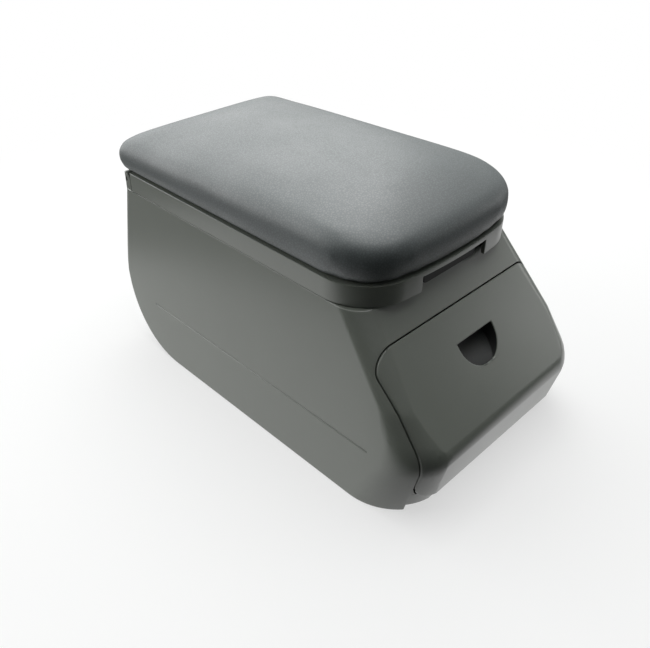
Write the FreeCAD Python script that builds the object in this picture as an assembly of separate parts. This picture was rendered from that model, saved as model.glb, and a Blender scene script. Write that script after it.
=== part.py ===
import FreeCAD, Part
import math
import os

# Lid: upholstered cushion on a moulded frame
lid_width = 160.0
lid_length = 260.0
frame_height = 14.5
frame_front_radius = 37.0
frame_rear_radius = 8.0
frame_least_radius = 1.0
front_bow_radius = 430.0
frame_flange_width = 14.0
cushion_overhang = 2.0
cushion_side_height = 4.0
cushion_edge_run = 32.0
cushion_edge_rise = 28.0
cushion_edge_angles = (25, 45, 62, 76, 86)
cushion_crown = 5.0
cushion_shoulder_run = 43.2
cushion_shoulder_rise = 3.5
cushion_crown_run = 60.8
cushion_front_rise = 12.0
cushion_foot_inset = 1.5
cushion_least_radius = 6.0
board_thickness = 4.5
board_inset = 10.0
panel_thickness = 2.0
panel_height = 4.0
panel_inset = 6.6
lid_boss_radius = 3.5

# Body: flared shell with a slanted front and a rear that curves under
wall = 2.6
body_height = 122.0
base_width = 196.0
body_inset = 0.5
front_reach = 54.0
front_overhang = 12.0
front_tuck = 9.5
knee_height = 44.0
knee_radius = 14.0
foot_corner_radius = 42.0
knee_corner_radius = 30.0
top_corner_radius = 18.0
corner_fade = 28.0
corner_blend = 9.0
corner_lead = 1.2
corner_steps = (-1.0, -0.5, 0.0, 0.5, 1.0)
body_bow_radius = 4000.0
rear_curve_radius = 74.0
rear_lean = 4.0
rim_width = 12.0
crease_height = 39.0
crease_depth = 0.6
crease_rear_margin = 50.0
crease_front_margin = 42.0
toe_height = 12.0
toe_inset = 3.4
base_thickness = 2.5
mount_spacing_x = 100.0
mount_spacing_y = 100.0
mount_hole_radius = 2.75

# Front flap with its tilt-out tub
flap_side_margin = 0.3
flap_band = 18.5
flap_bottom = 9.0
flap_top_corner = 15.0
flap_bottom_corner = 8.0
flap_cut_depth = 20.8
flap_foot_depth = 48.0
flap_axis_depth = 17.0
flap_axis_height = 6.2
flap_pin_radius = 2.0
flap_lug_radius = 3.2
flap_lug_width = 5.0
scoop_radius = 18.5
scoop_from_seam = 23.0
scoop_shoulder = 3.0
scoop_depth = 11.0
scoop_wall = 2.2
tub_half_width = 58.0
tub_wall = 2.0
tub_depth = 16.0
tub_floor = 20.0
tub_rear_height = 66.0
tub_front_height = 82.0
tub_front_foot = 20.0
tub_rear_gap = 6.0
flap_boss_radius = 3.5
flap_boss_offset = 46.0
flap_screw_shares = (0.46, 0.86)
arm_corner_share = 0.86

# Lid hinge along the top of the rear wall
hinge_inset = 6.5
hinge_drop = 7.0
hinge_barrel_radius = 6.0
hinge_pin_radius = 2.0
hinge_pin_recess = 2.0
hinge_bar_width = 10.0
knuckle_offset = 45.0
knuckle_width = 19.4
knuckle_radius = 5.6
knuckle_web = 3.0
knuckle_room = 15.0

# Latch in the notch of the lid frame
notch_width = 65.0
notch_height = 10.8
latch_setback = 11.5
latch_axis_above = 7.8
latch_pin_radius = 1.5
latch_barrel_radius = 3.0
latch_half_width = 18.0
latch_ear_width = 4.0
paddle_half_width = 27.0
paddle_thickness = 2.5
paddle_recess = 5.0
hook_half_width = 10.0
hook_setback = 21.0
hook_thickness = 3.0
hook_bite = 2.4
hook_nose = 4.2
hook_side_room = 2.0
spring_wire_radius = 0.4
spring_radius = 2.3
spring_turns = 5
bulkhead_setback = 30.0
bulkhead_thickness = 2.5
keeper_thickness = 1.2
keeper_half_width = 16.0
keeper_length = 11.6

# Screws and rubber buttons
screw_radius = 1.5
screw_head_radius = 3.0
screw_head_height = 1.6
base_screw_length = 12.0
lid_screw_length = 13.5
keeper_screw_length = 8.0
flap_screw_length = 12.0
base_boss_radius = 4.5
base_boss_height = 14.0
bumper_radius = 3.8
flap_bumper_radius = 4.0

# Clearances
seam_gap = 0.6
flap_gap = 0.9
running_clearance = 0.05
side_clearance = 0.4
fit_clearance = 0.3
cut_reach = 60.0
cut_margin = 1.0

V = FreeCAD.Vector
X_AXIS = V(1, 0, 0)
Y_AXIS = V(0, 1, 0)
Z_AXIS = V(0, 0, 1)

# Places worked out from the sizes above
overall_length = cushion_overhang + lid_length + front_reach
rear_limit = overall_length / 2
front_limit = -overall_length / 2
frame_rear = rear_limit - cushion_overhang
frame_front = frame_rear - lid_length
frame_top = body_height + frame_height
flange_bottom = frame_top - wall
body_top = body_height - seam_gap
rim_bottom = body_top - wall
body_rear = frame_rear - body_inset
body_half_top = lid_width / 2 - body_inset
flare = (base_width / 2 - body_half_top) / body_height
flap_half_width = body_half_top + flare * flap_band - flap_side_margin
flap_edge = flap_half_width + flap_gap / 2
slant_run = front_reach + front_overhang
slant_angle = math.atan2(slant_run, body_height - knee_height)
slant_up = V(0, math.sin(slant_angle), math.cos(slant_angle))
slant_out = V(0, -math.cos(slant_angle), math.sin(slant_angle))
tuck_angle = math.atan2(front_tuck, knee_height)
tuck_up = V(0, -math.sin(tuck_angle), math.cos(tuck_angle))
tuck_out = V(0, -math.cos(tuck_angle), -math.sin(tuck_angle))
knee_turn = (slant_angle + tuck_angle) / 2
knee_out = (slant_out + tuck_out).normalize()
knee_centre_y = front_limit + knee_radius
knee = V(0, knee_centre_y + knee_out.y * knee_radius / math.cos(knee_turn), knee_height)
foot_front = knee.y + front_tuck
flap_foot = V(0, foot_front - front_tuck * flap_bottom / knee_height, flap_bottom)
lean_angle = math.atan2(rear_lean, rim_bottom - rear_curve_radius)
lean_out = V(0, math.cos(lean_angle), -math.sin(lean_angle))
floor_rear = body_rear - (
    rear_curve_radius + lean_out.z * (rear_curve_radius - rim_bottom)) / lean_out.y
flap_seam = knee + slant_up * ((body_height - flap_band - knee_height) / math.cos(slant_angle))
flap_axis = V(0, front_limit + flap_axis_depth, flap_axis_height)
hinge_axis = V(0, frame_rear - hinge_inset, frame_top - hinge_drop)
latch_axis = V(0, frame_front + latch_setback, body_height + latch_axis_above)
hook_front = frame_front + hook_setback
hook_rear = hook_front + hook_thickness
bulkhead_front = frame_front + bulkhead_setback
bulkhead_rear = bulkhead_front + bulkhead_thickness
well_front = bulkhead_rear + wall * 2
board_bottom = frame_top
panel_bottom = body_height + panel_height
panel_top = panel_bottom + panel_thickness


def plan_outline(half_width, rear, front, rear_radius, front_radius, bow_radius, z):
    """Closed outline seen from above: straight sides, round corners and a bowed front."""
    bow_centre = front + bow_radius
    reach = bow_radius - front_radius
    corner_x = half_width - front_radius
    corner_y = bow_centre - math.sqrt(reach ** 2 - corner_x ** 2)
    toward = V(corner_x / reach, (corner_y - bow_centre) / reach, 0)
    bow_end = V(toward.x * bow_radius, bow_centre + toward.y * bow_radius, z)
    middle = (toward + X_AXIS).normalize()
    corner_middle = V(corner_x, corner_y, z) + middle * front_radius
    rear_x = half_width - rear_radius
    rear_y = rear - rear_radius
    diagonal = rear_radius * math.sqrt(0.5)

    def flip(point):
        return V(-point.x, point.y, point.z)

    side_front = V(half_width, corner_y, z)
    side_rear = V(half_width, rear_y, z)
    rear_middle = V(rear_x + diagonal, rear_y + diagonal, z)
    rear_end = V(rear_x, rear, z)
    edges = [
        Part.LineSegment(side_front, side_rear),
        Part.Arc(side_rear, rear_middle, rear_end),
        Part.LineSegment(rear_end, flip(rear_end)),
        Part.Arc(flip(rear_end), flip(rear_middle), flip(side_rear)),
        Part.LineSegment(flip(side_rear), flip(side_front)),
        Part.Arc(flip(side_front), flip(corner_middle), flip(bow_end)),
        Part.Arc(flip(bow_end), V(0, front, z), bow_end),
        Part.Arc(bow_end, corner_middle, side_front),
    ]
    return Part.Wire([edge.toShape() for edge in edges])


def slab(outline, height):
    """Plate of one outline."""
    return Part.Face(outline).extrude(V(0, 0, height))


def box(x_low, x_high, y_low, y_high, z_low, z_high):
    return Part.makeBox(x_high - x_low, y_high - y_low, z_high - z_low, V(x_low, y_low, z_low))


def centred_box(half_width, y_low, y_high, z_low, z_high):
    return box(-half_width, half_width, y_low, y_high, z_low, z_high)


def side_prism(points, x_low, x_high):
    """Prism of a side-view polygon, from one X to another."""
    corners = [V(x_low, y, z) for y, z in points]
    face = Part.Face(Part.makePolygon(corners + corners[:1]))
    return face.extrude(V(x_high - x_low, 0, 0))


def rod(radius, x_low, x_high, centre):
    """Cylinder along X."""
    return Part.makeCylinder(radius, x_high - x_low, V(x_low, centre.y, centre.z), X_AXIS)


def both_sides(shape):
    return [shape, shape.mirror(V(0, 0, 0), X_AXIS)]


def screw(place, direction, length):
    """Countersunk screw: its head's flat face at the place, its point along the direction."""
    head = Part.makeCone(screw_head_radius, screw_radius, screw_head_height, place, direction)
    return head.fuse(Part.makeCylinder(screw_radius, length, place, direction)).removeSplitter()


def screw_hole(place, direction, length):
    """Room for a screw, a running clearance larger all over."""
    head = Part.makeCone(
        screw_head_radius + running_clearance, screw_radius + running_clearance,
        screw_head_height, place, direction)
    shank = Part.makeCylinder(
        screw_radius + running_clearance, length + running_clearance, place, direction)
    return head.fuse(shank)


def half_width_at(z):
    """Half width of the flared side walls at a height."""
    return body_half_top + flare * (body_height - z)


def corner_front_at(z):
    """Front of the rounded corners: a little ahead of the front wall at every height."""
    slant = slant_run / (body_height - knee_height)
    tuck = front_tuck / knee_height
    front = knee.y - corner_lead
    above = z - knee_height
    if above <= -corner_blend:
        return front - tuck * above
    if above >= corner_blend:
        return front + slant * above
    reach = above + corner_blend
    return front - tuck * above + (slant + tuck) * reach ** 2 / (4 * corner_blend)


def corner_radius_at(z):
    """Radius of the rounded corners: large at the foot, small along the slanted face."""
    above = z - knee_height
    if above <= 0:
        return knee_corner_radius - (foot_corner_radius - knee_corner_radius) * above / knee_height
    share = min(above / corner_fade, 1.0)
    return knee_corner_radius + (top_corner_radius - knee_corner_radius) * share


def corner_body(inset, low, high):
    """Flared plan form with its rounded corners, drawn in by an inset."""
    heights = [low] + [knee_height + corner_blend * step for step in corner_steps]
    heights += [knee_height + corner_fade, high]
    outlines = [
        plan_outline(
            half_width_at(z) - inset, body_rear - inset, corner_front_at(z) + inset,
            frame_rear_radius - inset, corner_radius_at(z) - inset, body_bow_radius - inset, z)
        for z in heights]
    return Part.makeLoft(outlines, True, True)


def side_profile(inset, low, high):
    """Side view of the body drawn in by an inset: slanted front, knee, and curved rear."""
    radius = knee_radius - inset
    corner = knee - knee_out * (inset / math.cos(knee_turn))
    centre = corner - knee_out * (radius / math.cos(knee_turn))
    arc_low = centre + tuck_out * radius
    arc_middle = centre + knee_out * radius
    arc_high = centre + slant_out * radius
    slant_top = arc_high + slant_up * ((high - arc_high.z) / slant_up.z)
    foot = arc_low + tuck_up * ((low - arc_low.z) / tuck_up.z)
    rear = body_rear - inset
    curve_radius = rear_curve_radius - inset
    curve_centre = V(0, floor_rear, rear_curve_radius)
    curve_low = V(0, floor_rear, inset)
    curve_high = curve_centre + lean_out * curve_radius
    curve_middle = curve_centre + (lean_out - Z_AXIS).normalize() * curve_radius
    lean_top = V(0, rear, rim_bottom + inset * math.tan(lean_angle / 2))
    chain = [curve_high, lean_top, V(0, rear, high), slant_top, arc_high]
    edges = [Part.LineSegment(a, b) for a, b in zip(chain, chain[1:])]
    edges.append(Part.Arc(arc_high, arc_middle, arc_low))
    base = [arc_low, foot, V(0, floor_rear, low)]
    if inset > 0:
        base.append(curve_low)
    edges += [Part.LineSegment(a, b) for a, b in zip(base, base[1:])]
    edges.append(Part.Arc(curve_low, curve_middle, curve_high))
    face = Part.Face(Part.Wire([edge.toShape() for edge in edges]))
    face.translate(V(-base_width, 0, 0))
    return face.extrude(V(2 * base_width, 0, 0))


def body_form(inset, low, high):
    """Outer form of the body, or of the space inside it."""
    return corner_body(inset, low, high).common(side_profile(inset, low, high))


def flap_region(grow):
    """Space that the flap takes out of the front wall, larger by a margin all round."""
    half = flap_half_width + grow
    seam = flap_seam + slant_up * grow
    top_out = seam + slant_out * cut_reach
    top_in = seam - slant_out * flap_cut_depth
    drop = V(0, 0, -grow * math.sqrt(2))
    bevel = V(0, 1, 1)
    low_in = flap_foot + drop + bevel * flap_foot_depth
    low_out = flap_foot + drop - bevel * flap_bottom
    far = V(0, top_out.y - cut_reach, top_out.z)
    points = [(p.y, p.z) for p in (top_out, top_in, low_in, low_out, far)]
    solid = side_prism(points, -half, half)
    for first, second, radius in (
            (top_out, top_in, flap_top_corner), (low_in, low_out, flap_bottom_corner)):
        edges = []
        for edge in solid.Edges:
            ends = [V(0, v.Point.y, v.Point.z) for v in edge.Vertexes]
            if len(ends) == 2 and ends[0].distanceToPoint(ends[1]) > 1:
                near = [min(e.distanceToPoint(first), e.distanceToPoint(second)) for e in ends]
                if max(near) < 1e-6:
                    edges.append(edge)
        solid = solid.makeFillet(radius + grow, edges)
    return solid


def scoop_form(grow):
    """D-shaped finger scoop: flat edge above, round below, deepest at the flat edge."""
    edge = flap_seam - slant_up * scoop_from_seam
    centre = edge - slant_up * scoop_shoulder
    radius = scoop_radius + grow
    flat = edge + slant_up * grow
    corners = [
        flat + X_AXIS * radius, flat - X_AXIS * radius,
        centre - X_AXIS * radius, centre - slant_up * radius, centre + X_AXIS * radius]
    outline = Part.Wire([
        Part.LineSegment(corners[4], corners[0]).toShape(),
        Part.LineSegment(corners[0], corners[1]).toShape(),
        Part.LineSegment(corners[1], corners[2]).toShape(),
        Part.Arc(corners[2], corners[3], corners[4]).toShape()])
    depth = scoop_depth + grow
    face = Part.Face(outline)
    face.translate(slant_out * scoop_depth)
    prism = face.extrude(slant_out * -(2 * scoop_depth + depth))
    reach = scoop_radius + scoop_shoulder
    bowl_radius = (scoop_depth ** 2 + reach ** 2) / (2 * scoop_depth)
    bowl_centre = edge + slant_out * (bowl_radius - scoop_depth)
    bowl = rod(bowl_radius + grow, -cut_reach, cut_reach, bowl_centre)
    return prism.common(bowl)


def toe_zone(half_width, low, high):
    """Block that takes in the lower front of the body."""
    return centred_box(half_width, front_limit - wall, foot_front + foot_corner_radius, low, high)


outer = body_form(0, 0, body_top)
inner = body_form(wall, -wall, body_height + wall)
recess = body_form(toe_inset, -wall, body_height)
skin = outer.cut(inner)


def make_body_shell():
    """Moulded shell: walls, rim, bulkhead, toe, hinge barrel, bosses and pivot lugs."""
    shell = skin.cut(flap_region(flap_gap / 2))
    rim = inner.common(centred_box(base_width, front_limit, rear_limit, rim_bottom, body_top))
    mouth = plan_outline(
        body_half_top - rim_width, body_rear - rim_width - wall, well_front,
        frame_rear_radius, frame_rear_radius, front_bow_radius, rim_bottom - wall)
    rim = rim.cut(slab(mouth, wall * 4))
    bulkhead = inner.common(centred_box(
        base_width, bulkhead_front, bulkhead_rear, base_thickness, body_top))
    behind = body_form(toe_inset + wall, -wall, body_height)
    shell = shell.cut(toe_zone(flap_edge, -wall, flap_bottom + flap_bottom_corner).cut(recess))
    toe = recess.cut(behind).common(toe_zone(flap_edge + wall, 0, toe_height))
    toe_ends = outer.cut(behind).common(toe_zone(flap_edge + wall, 0, toe_height))
    toe_ends = toe_ends.cut(toe_zone(flap_edge, 0, toe_height))
    lug = box(
        tub_half_width + side_clearance, tub_half_width + side_clearance + flap_lug_width,
        foot_front + toe_inset + fit_clearance, flap_axis.y, flap_axis.z - flap_lug_radius,
        flap_axis.z + flap_lug_radius)
    lug = lug.fuse(rod(
        flap_lug_radius, tub_half_width + side_clearance,
        tub_half_width + side_clearance + flap_lug_width, flap_axis))
    barrel = rod(hinge_barrel_radius, -body_half_top, body_half_top, hinge_axis)
    barrel = barrel.fuse(centred_box(
        body_half_top, hinge_axis.y - hinge_barrel_radius, hinge_axis.y + hinge_barrel_radius,
        rim_bottom, hinge_axis.z))
    barrel = barrel.common(slab(frame_outline(body_inset, rim_bottom), frame_height * 2))
    bosses = []
    for y in base_screw_rows():
        boss = Part.makeCylinder(
            base_boss_radius, base_boss_height - base_thickness,
            V(base_screw_x(), y, base_thickness))
        bosses += both_sides(boss.common(outer))
    shell = shell.fuse([rim, bulkhead, toe, toe_ends, barrel] + both_sides(lug) + bosses)
    cutters = [rod(hinge_pin_radius + running_clearance, -base_width, base_width, hinge_axis)]
    cutters += both_sides(rod(
        flap_pin_radius + running_clearance, tub_half_width,
        tub_half_width + flap_lug_width + cut_margin, flap_axis))
    half = knuckle_width / 2 + side_clearance
    for middle in (-knuckle_offset, knuckle_offset):
        cutters.append(box(
            middle - half, middle + half, hinge_axis.y - knuckle_room, rear_limit + wall,
            body_height, frame_top))
    for place, direction in base_screw_places():
        cutters.append(screw_hole(place, direction, base_screw_length))
    for place, direction in keeper_screw_places():
        cutters.append(screw_hole(place, direction, keeper_screw_length))
    cutters.append(hook_slot())
    cutters += crease_grooves()
    return shell.cut(cutters)


def crease_grooves():
    """Fine moulded line along the lower part of each side."""
    middle = half_width_at(crease_height)
    depth = crease_depth
    corners = [
        V(middle - depth, 0, crease_height),
        V(middle + depth - flare * depth * 2, 0, crease_height + depth * 2),
        V(middle + depth + flare * depth * 2, 0, crease_height - depth * 2)]
    rear = rear_limit - crease_rear_margin
    front = front_limit + crease_front_margin
    face = Part.Face(Part.makePolygon(corners + corners[:1]))
    face.translate(V(0, front, 0))
    return both_sides(face.extrude(V(0, rear - front, 0)))


def hook_slot():
    """Slot in the rim that the latch hook drops through, lined behind by the keeper."""
    rear = hook_rear + fit_clearance + keeper_thickness
    front = frame_front + front_overhang + wall / math.cos(slant_angle)
    return centred_box(
        hook_half_width + hook_side_room, front, rear, rim_bottom - wall, body_top + wall)


def base_screw_x():
    return base_width / 2 - wall - base_boss_radius - side_clearance


def base_screw_rows():
    front = bulkhead_front - rear_curve_radius / 2
    rear = floor_rear - base_boss_radius * 4
    return [front, (front + rear) / 2, rear]


def base_screw_places():
    x = base_screw_x()
    return [(V(side * x, y, 0), Z_AXIS) for y in base_screw_rows() for side in (-1, 1)]


def keeper_screw_places():
    y = hook_rear + fit_clearance + keeper_length / 2 + keeper_thickness
    z = body_top + keeper_thickness
    x = keeper_half_width - screw_head_radius * 2
    return [(V(side * x, y, z), V(0, 0, -1)) for side in (-1, 1)]


def lid_screw_places():
    x = lid_width / 2 - frame_flange_width - lid_boss_radius * 3
    front = bulkhead_front + frame_flange_width
    rear = hinge_axis.y - frame_flange_width * 2
    rows = [front, (front + rear) / 2, rear]
    return [(V(side * x, y, panel_bottom), Z_AXIS) for y in rows for side in (-1, 1)]


def tub_face_point(z, depth):
    """Point at a height on the plane that lies a depth behind the slanted face."""
    start = knee - slant_out * depth
    return start + slant_up * ((z - start.z) / slant_up.z)


def flap_screw_places():
    reach = tub_front_height - tub_floor
    heights = (tub_floor + reach * share for share in flap_screw_shares)
    places = []
    for z in heights:
        point = tub_face_point(z, tub_depth + tub_wall)
        for side in (-1, 1):
            places.append((V(side * flap_boss_offset, point.y, point.z), slant_out))
    return places


def make_base_plate():
    """Plate that closes the shell below, with countersunk screws and four mounting holes."""
    plate = body_form(wall + fit_clearance, -wall, body_height)
    rear = floor_rear - fit_clearance
    plate = plate.common(centred_box(base_width, front_limit, rear, 0, base_thickness))
    behind_toe = body_form(toe_inset + wall + fit_clearance, -wall, body_height)
    edge = flap_edge + wall + fit_clearance
    plate = plate.cut(toe_zone(edge, -wall, body_height).cut(behind_toe))
    centre = (bulkhead_rear + rear) / 2
    holes = [
        Part.makeCylinder(
            mount_hole_radius, base_thickness * 3,
            V(sx * mount_spacing_x / 2, centre + sy * mount_spacing_y / 2, -base_thickness))
        for sx in (-1, 1) for sy in (-1, 1)]
    holes += [screw_hole(place, way, base_screw_length) for place, way in base_screw_places()]
    return plate.cut(holes)


def make_hinge_pin():
    reach = body_half_top - hinge_pin_recess
    return rod(hinge_pin_radius, -reach, reach, hinge_axis)


def make_lid_bumpers():
    """Rubber buttons on the rim, just under the lid's inner panel."""
    x = body_half_top - wall - rim_width / 2 + side_clearance
    rows = (bulkhead_rear + rim_width * 2, hinge_axis.y - rim_width * 3)
    height = panel_bottom - fit_clearance - body_top
    return [
        Part.makeCylinder(bumper_radius, height, V(side * x, y, body_top))
        for y in rows for side in (-1, 1)]


def make_latch_keeper():
    """Bent steel strike on the rim, its lip down the rear of the hook slot."""
    front = hook_rear + fit_clearance
    plate = centred_box(
        keeper_half_width, front, front + keeper_length, body_top, body_top + keeper_thickness)
    lip = centred_box(
        hook_half_width + hook_side_room - fit_clearance, front, front + keeper_thickness,
        rim_bottom, body_top)
    strike = plate.fuse(lip).removeSplitter()
    return strike.cut([
        screw_hole(place, way, keeper_screw_length) for place, way in keeper_screw_places()])


def make_flap_pins():
    inside = tub_half_width - tub_wall * 2
    outside = tub_half_width + side_clearance + flap_lug_width
    return both_sides(rod(flap_pin_radius, inside, outside, flap_axis))


def make_flap_bumpers():
    """Rubber stops on the bulkhead, just behind the closed tub."""
    length = tub_rear_gap - fit_clearance
    place = V(tub_half_width / 2, bulkhead_front - length, (tub_floor + tub_rear_height) / 2)
    return both_sides(Part.makeCylinder(flap_bumper_radius, length, place, Y_AXIS))


def frame_outline(inset, z):
    return plan_outline(
        lid_width / 2 - inset, frame_rear - inset, frame_front + inset,
        max(frame_rear_radius - inset, frame_least_radius), frame_front_radius - inset,
        front_bow_radius - inset, z)


def make_lid_frame():
    """Skirt with an inward flange, hinge knuckles, a latch notch and two pin ears."""
    rear_end = hinge_axis.y - hinge_barrel_radius - side_clearance * 3
    frame = slab(frame_outline(0, body_height), frame_height)
    frame = frame.cut([
        slab(frame_outline(wall, body_height - wall), frame_height),
        slab(frame_outline(frame_flange_width, body_height), frame_height * 2),
        centred_box(lid_width, rear_end, rear_limit, body_height - wall, frame_top + wall),
        centred_box(
            notch_width / 2, frame_front - wall, frame_front + wall * 3,
            body_height - wall, body_height + notch_height)])
    half = knuckle_width / 2
    pieces = [centred_box(
        lid_width / 2 - wall / 2, rear_end - hinge_bar_width, rear_end, flange_bottom, frame_top)]
    for side in (-1, 1):
        low = side * knuckle_offset - half
        high = side * knuckle_offset + half
        pieces.append(rod(knuckle_radius, low, high, hinge_axis))
        pieces.append(box(
            low, high, frame_rear - frame_flange_width - wall, hinge_axis.y,
            frame_top - knuckle_web, frame_top))
        pieces.append(box(
            low, high, hinge_axis.y - knuckle_web, hinge_axis.y, hinge_axis.z, frame_top))
    ear = box(
        latch_half_width + side_clearance, latch_half_width + side_clearance + latch_ear_width,
        latch_axis.y - latch_barrel_radius, latch_axis.y + latch_barrel_radius,
        latch_axis.z - latch_barrel_radius, flange_bottom)
    frame = frame.fuse(pieces + both_sides(ear))
    reach = latch_half_width + side_clearance + latch_ear_width
    return frame.cut([
        rod(hinge_pin_radius + running_clearance, -base_width, base_width, hinge_axis),
        rod(
            latch_pin_radius + running_clearance, -reach - cut_margin, reach + cut_margin, latch_axis)])


def make_lid_board():
    """Board under the foam, with pilot holes for the lid's screws."""
    board = slab(frame_outline(board_inset, board_bottom), board_thickness)
    return board.cut([
        screw_hole(place, way, lid_screw_length) for place, way in lid_screw_places()])


def make_lid_cushion():
    """Padded cushion: soft edges, a low crown and a front that stands higher than the rear."""
    rise = cushion_front_rise / lid_length
    levels = [(cushion_foot_inset, 0.0, 0.0), (0.0, cushion_side_height, 0.0)]
    for angle in cushion_edge_angles:
        turn = math.radians(angle)
        levels.append((
            cushion_edge_run * (1 - math.cos(turn)),
            cushion_side_height + cushion_edge_rise * math.sin(turn), math.sin(turn)))
    top = cushion_side_height + cushion_edge_rise
    levels.append((cushion_shoulder_run, top + cushion_shoulder_rise, 1.0))
    levels.append((cushion_crown_run, top + cushion_crown, 1.0))
    outlines = []
    for inset, height, tilt in levels:
        grow = cushion_overhang - inset
        outline = plan_outline(
            lid_width / 2 + grow, frame_rear + grow, frame_front - grow,
            max(frame_rear_radius + grow, cushion_least_radius),
            max(frame_front_radius + grow, cushion_least_radius), front_bow_radius + grow, 0)
        lean = FreeCAD.Matrix()
        lean.A32 = -rise * tilt
        lean.A34 = frame_top + height + rise * tilt * frame_rear
        outlines.append(outline.transformGeometry(lean))
    cushion = Part.makeLoft(outlines, True, True)
    pocket = slab(
        frame_outline(board_inset - fit_clearance, frame_top - wall),
        wall + board_thickness + fit_clearance)
    return cushion.cut(pocket)


def make_lid_panel():
    """Shallow tray that closes the lid below, with a rim and screw bosses."""
    front = bulkhead_front + wall
    rear = hinge_axis.y - hinge_barrel_radius - frame_flange_width / 2
    outline = plan_outline(
        lid_width / 2 - panel_inset, rear, front, frame_rear_radius, frame_rear_radius,
        front_bow_radius, panel_bottom)
    inside = plan_outline(
        lid_width / 2 - panel_inset - panel_thickness, rear - panel_thickness,
        front + panel_thickness, frame_rear_radius - panel_thickness,
        frame_rear_radius - panel_thickness, front_bow_radius - panel_thickness, panel_top)
    panel = slab(outline, flange_bottom - panel_bottom)
    panel = panel.cut(slab(inside, frame_height))
    bosses = [
        Part.makeCylinder(lid_boss_radius, board_bottom - panel_bottom, place)
        for place, way in lid_screw_places()]
    panel = panel.fuse(bosses)
    return panel.cut([
        screw_hole(place, way, lid_screw_length) for place, way in lid_screw_places()])


def make_latch_lever():
    """Finger paddle, pivot barrel and hook in one moulding."""
    barrel = rod(latch_barrel_radius, -latch_half_width, latch_half_width, latch_axis)
    paddle_front = frame_front + paddle_recess
    paddle_low = body_height + seam_gap * 2
    paddle_high = latch_axis.z + seam_gap
    height = paddle_high - paddle_low
    paddle = centred_box(
        paddle_half_width - height / 2, paddle_front, paddle_front + paddle_thickness,
        paddle_low, paddle_high)
    ends = [
        Part.makeCylinder(
            height / 2, paddle_thickness,
            V(side * (paddle_half_width - height / 2), paddle_front, paddle_low + height / 2),
            Y_AXIS)
        for side in (-1, 1)]
    web = centred_box(
        latch_half_width, paddle_front, latch_axis.y,
        paddle_high - paddle_thickness, paddle_high)
    arm = centred_box(
        hook_half_width, latch_axis.y, hook_rear, latch_axis.z - hook_thickness / 2,
        latch_axis.z + hook_thickness / 2)
    nose_top = rim_bottom - seam_gap
    shank = centred_box(
        hook_half_width, hook_front, hook_rear, nose_top - hook_nose, latch_axis.z)
    nose = side_prism(
        [(hook_front, nose_top - hook_nose), (hook_rear, nose_top - hook_nose),
         (hook_rear + fit_clearance + hook_bite, nose_top - hook_nose / 3),
         (hook_rear + fit_clearance + hook_bite, nose_top), (hook_front, nose_top)],
        -hook_half_width, hook_half_width)
    lever = barrel.fuse([paddle, web, arm, shank, nose] + ends)
    spring_room = spring_turns * spring_wire_radius * 2 + side_clearance
    lever = lever.cut([
        rod(latch_pin_radius + running_clearance, -base_width, base_width, latch_axis),
        rod(spring_radius + spring_wire_radius + side_clearance, -spring_room / 2 - side_clearance,
            spring_room / 2 + side_clearance, latch_axis)])
    return lever.removeSplitter()


def make_latch_pin():
    reach = latch_half_width + side_clearance + latch_ear_width
    return rod(latch_pin_radius, -reach, reach, latch_axis)


def make_latch_spring():
    """Close-wound return spring round the latch pin, its turns drawn as ridges that touch."""
    half = spring_turns * spring_wire_radius
    inside = spring_radius - spring_wire_radius
    points = [V(-half, inside, 0), V(half, inside, 0), V(half, spring_radius, 0)]
    for turn in range(spring_turns):
        crest = half - spring_wire_radius * (2 * turn + 1)
        points.append(V(crest, spring_radius + spring_wire_radius, 0))
        points.append(V(crest - spring_wire_radius, spring_radius, 0))
    coil = Part.Face(Part.makePolygon(points + points[:1])).revolve(V(0, 0, 0), X_AXIS, 360)
    coil.translate(V(0, latch_axis.y, latch_axis.z))
    return coil


def make_flap_panel():
    """Outer flap: part of the front wall, with a finger scoop and four bosses for the tub."""
    panel = skin.common(flap_region(-flap_gap / 2))
    bosses = []
    for place, way in flap_screw_places():
        post = Part.makeCylinder(flap_boss_radius, tub_depth - wall / 2, place + way * tub_wall, way)
        bosses.append(post)
    pocket = scoop_form(scoop_wall).common(outer)
    panel = panel.fuse(bosses + [pocket])
    return panel.cut([scoop_form(0)] + [
        screw_hole(place, way, flap_screw_length) for place, way in flap_screw_places()])


def tub_points(inset):
    """Side view of the tub; the inset one is open above."""
    rear = bulkhead_front - tub_rear_gap - inset
    foot = tub_face_point(tub_floor + tub_front_foot, tub_depth + inset)
    head = tub_face_point(tub_front_height, tub_depth + inset)
    floor = tub_floor + inset
    return [
        (foot.y + inset / 2, floor), (rear, floor), (rear, tub_rear_height),
        (head.y, head.z), (foot.y, foot.z)]


def make_flap_tub():
    """Open tub behind the flap, on two arms that reach down to the pivot."""
    tub = side_prism(tub_points(0), -tub_half_width, tub_half_width)
    inside = tub_points(tub_wall)
    inside[2] = (inside[2][0], tub_front_height + tub_wall)
    hollow = side_prism(inside, tub_wall - tub_half_width, tub_half_width - tub_wall)
    tub = tub.cut(hollow)
    arm_low = tub_half_width - tub_wall * 2
    foot = tub_face_point(tub_floor + tub_front_foot, tub_depth)
    arm = rod(flap_lug_radius, arm_low, tub_half_width, flap_axis)
    corner = flap_lug_radius * arm_corner_share
    web = side_prism(
        [(flap_axis.y - flap_lug_radius / 2, flap_axis.z + corner),
         (foot.y + tub_wall, tub_floor + tub_wall * 2),
         (foot.y + tub_wall * 8, tub_floor + tub_wall),
         (flap_axis.y + corner, flap_axis.z - flap_lug_radius / 2)],
        arm_low, tub_half_width)
    arms = both_sides(arm.fuse(web))
    tub = tub.fuse(arms)
    bore = rod(flap_pin_radius + running_clearance, -base_width / 2, base_width / 2, flap_axis)
    holes = [screw_hole(place, way, flap_screw_length) for place, way in flap_screw_places()]
    return tub.cut([bore] + holes).removeSplitter()


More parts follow.
